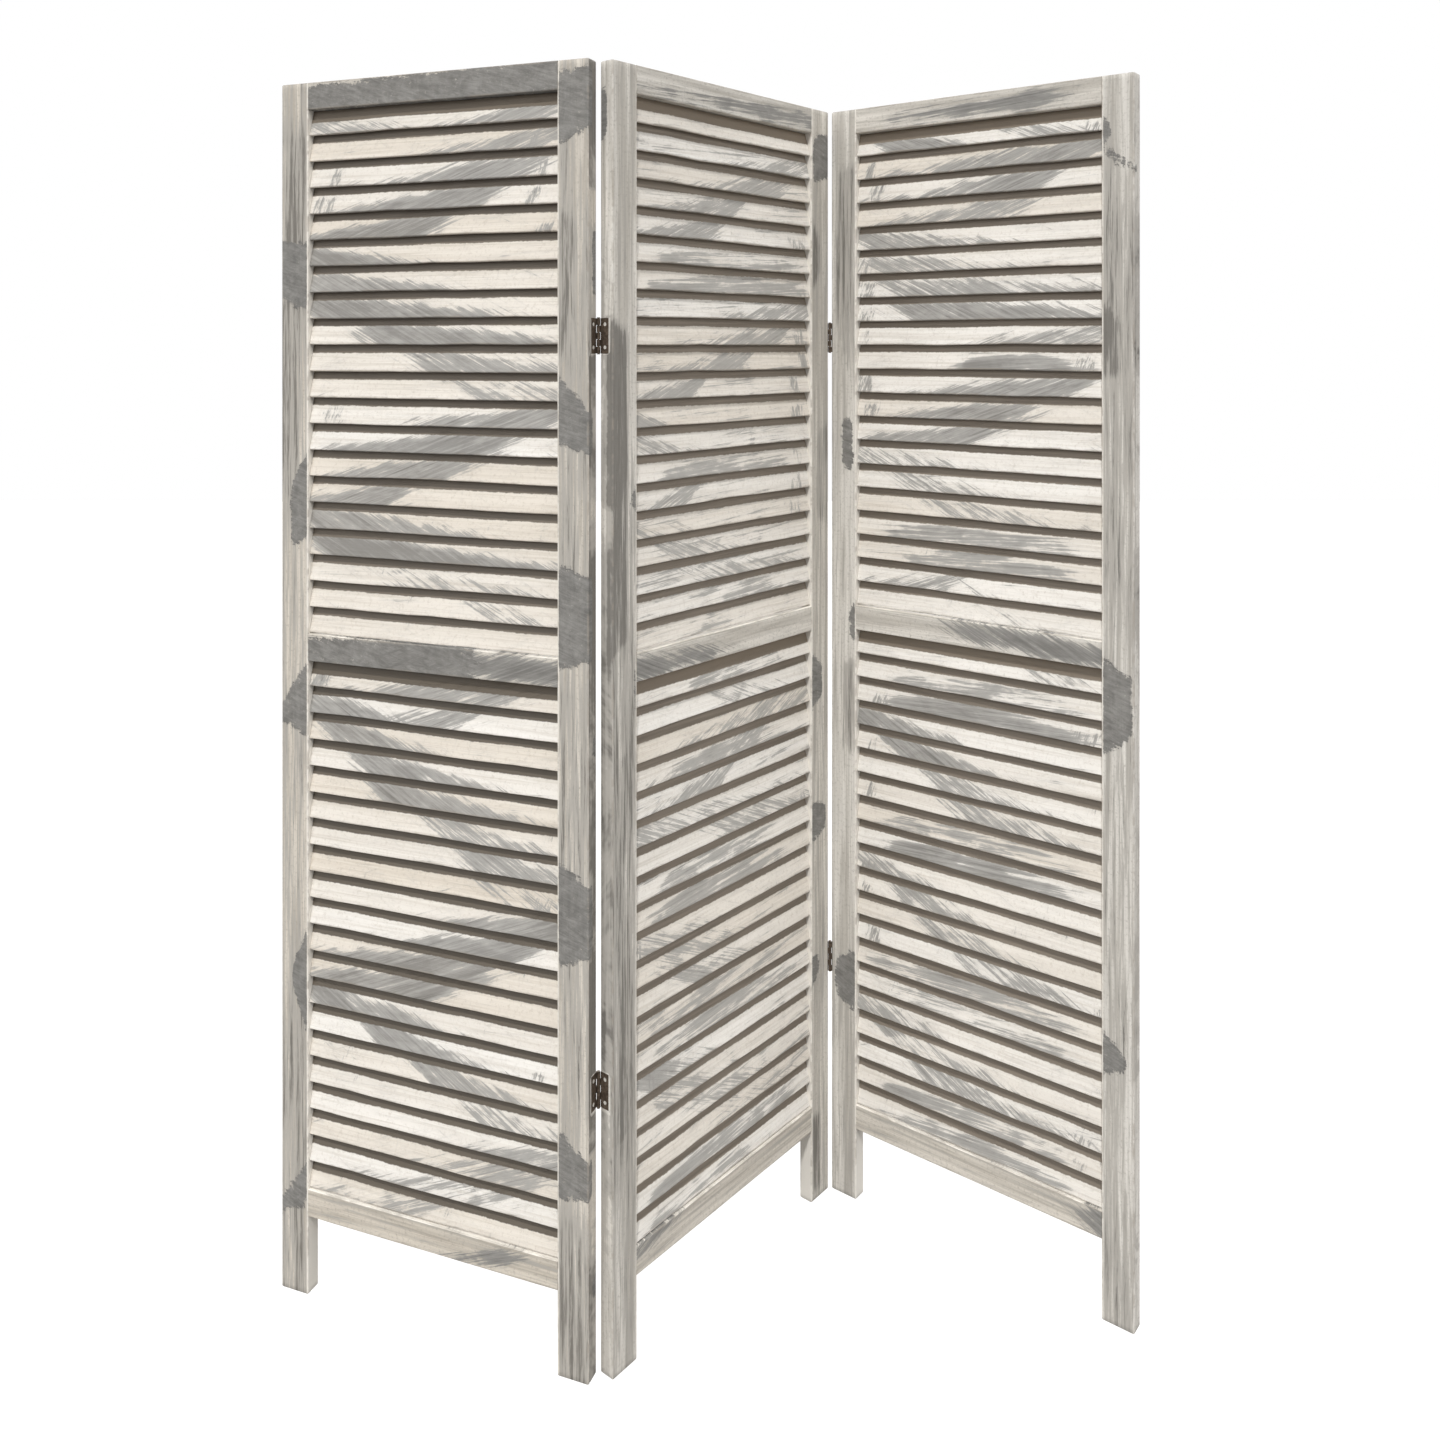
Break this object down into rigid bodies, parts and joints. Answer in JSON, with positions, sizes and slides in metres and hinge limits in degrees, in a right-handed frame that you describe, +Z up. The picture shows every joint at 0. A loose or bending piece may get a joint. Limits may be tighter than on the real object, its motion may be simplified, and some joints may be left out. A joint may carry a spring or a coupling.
{
  "type": "folding room divider screen",
  "caption": "Free-standing folding room divider: louvred timber panels with a brushed whitewash finish, joined edge to edge by small butt hinges.",
  "frame": {"origin": "centre of the bounding box, on the floor plane under the feet", "axes": "+Z up; the slats' sloping faces and the zigzag's front look towards -Y; +X runs along the row from the left panel to the right panel"},
  "size_m": [1.1894, 0.3962, 1.7],
  "materials": {
    "frame_wood": "whitewashed, brushed with grey, matt",
    "slat_wood": "whitewashed, brushed with grey, matt",
    "hinge_bronze": "dark bronze, satin",
    "screw_metal": "worn bronze"
  },
  "bodies": {
    "middle_panel": {"middle_panel_left_stile": "frame_wood", "middle_panel_right_stile": "frame_wood", "middle_panel_top_rail": "frame_wood", "middle_panel_mid_rail": "frame_wood", "middle_panel_bottom_rail": "frame_wood", "middle_panel_upper_louvres": "slat_wood", "middle_panel_lower_louvres": "slat_wood", "left_seam_upper_hinge_right_leaf": "hinge_bronze", "left_seam_upper_hinge_right_leaf_upper_screw": "screw_metal", "left_seam_upper_hinge_right_leaf_lower_screw": "screw_metal", "left_seam_lower_hinge_right_leaf": "hinge_bronze", "left_seam_lower_hinge_right_leaf_upper_screw": "screw_metal", "left_seam_lower_hinge_right_leaf_lower_screw": "screw_metal", "left_seam_upper_hinge_pin": "hinge_bronze", "left_seam_lower_hinge_pin": "hinge_bronze", "right_seam_upper_hinge_left_leaf": "hinge_bronze", "right_seam_upper_hinge_left_leaf_upper_screw": "screw_metal", "right_seam_upper_hinge_left_leaf_lower_screw": "screw_metal", "right_seam_lower_hinge_left_leaf": "hinge_bronze", "right_seam_lower_hinge_left_leaf_upper_screw": "screw_metal", "right_seam_lower_hinge_left_leaf_lower_screw": "screw_metal", "right_seam_upper_hinge_pin": "hinge_bronze", "right_seam_lower_hinge_pin": "hinge_bronze"},
    "left_panel": {"left_panel_left_stile": "frame_wood", "left_panel_right_stile": "frame_wood", "left_panel_top_rail": "frame_wood", "left_panel_mid_rail": "frame_wood", "left_panel_bottom_rail": "frame_wood", "left_panel_upper_louvres": "slat_wood", "left_panel_lower_louvres": "slat_wood", "left_seam_upper_hinge_left_leaf": "hinge_bronze", "left_seam_upper_hinge_left_leaf_upper_screw": "screw_metal", "left_seam_upper_hinge_left_leaf_lower_screw": "screw_metal", "left_seam_lower_hinge_left_leaf": "hinge_bronze", "left_seam_lower_hinge_left_leaf_upper_screw": "screw_metal", "left_seam_lower_hinge_left_leaf_lower_screw": "screw_metal"},
    "right_panel": {"right_panel_left_stile": "frame_wood", "right_panel_right_stile": "frame_wood", "right_panel_top_rail": "frame_wood", "right_panel_mid_rail": "frame_wood", "right_panel_bottom_rail": "frame_wood", "right_panel_upper_louvres": "slat_wood", "right_panel_lower_louvres": "slat_wood", "right_seam_upper_hinge_right_leaf": "hinge_bronze", "right_seam_upper_hinge_right_leaf_upper_screw": "screw_metal", "right_seam_upper_hinge_right_leaf_lower_screw": "screw_metal", "right_seam_lower_hinge_right_leaf": "hinge_bronze", "right_seam_lower_hinge_right_leaf_upper_screw": "screw_metal", "right_seam_lower_hinge_right_leaf_lower_screw": "screw_metal"}
  },
  "joints": [
    {"name": "left_fold", "type": "hinge", "parent": "middle_panel", "child": "left_panel", "pos_m": [-0.13282, -0.17745, 0], "axis": [0, 0, 1], "range_deg": [-107, 71]},
    {"name": "right_fold", "type": "hinge", "parent": "middle_panel", "child": "right_panel", "pos_m": [0.19832, 0.18187, 0], "axis": [0, 0, 1], "range_deg": [-90, 88]}
  ]
}
